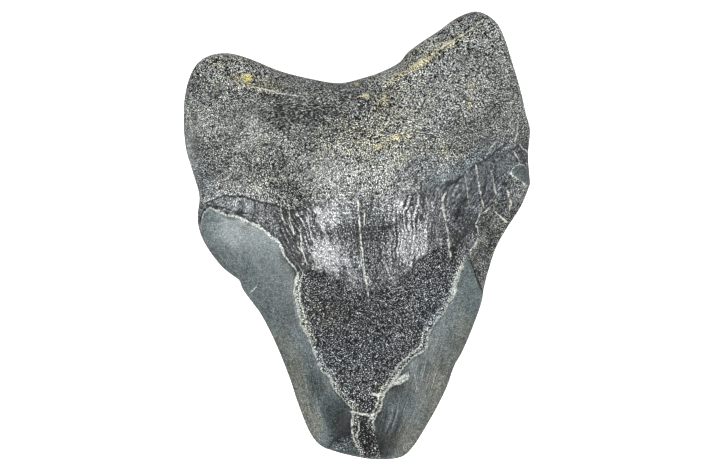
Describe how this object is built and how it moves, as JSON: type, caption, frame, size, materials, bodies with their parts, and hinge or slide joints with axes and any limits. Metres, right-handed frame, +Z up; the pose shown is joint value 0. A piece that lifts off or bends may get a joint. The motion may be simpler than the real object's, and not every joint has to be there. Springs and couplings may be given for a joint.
{
  "type": "fossil megalodon tooth",
  "caption": "Large fossil shark tooth, root and worn crown in one solid, lying on its nearly flat outer face with the thick inner face up, for display.",
  "frame": {"origin": "middle of the tooth's outline, on the surface that it lies on", "axes": "+X across the root, towards the longer root lobe; +Y from the broken tip towards the root; +Z up, out of the thick inner face"},
  "size_m": [0.0779, 0.1009, 0.024],
  "materials": {
    "fossil_tooth": "dark grey mineralised tooth: speckled matt root and bared dentine, a darker band with a dull shine below the root, and smooth blue-grey enamel with a soft sheen"
  },
  "bodies": {
    "root": {"tooth": "fossil_tooth"}
  },
  "joints": []
}
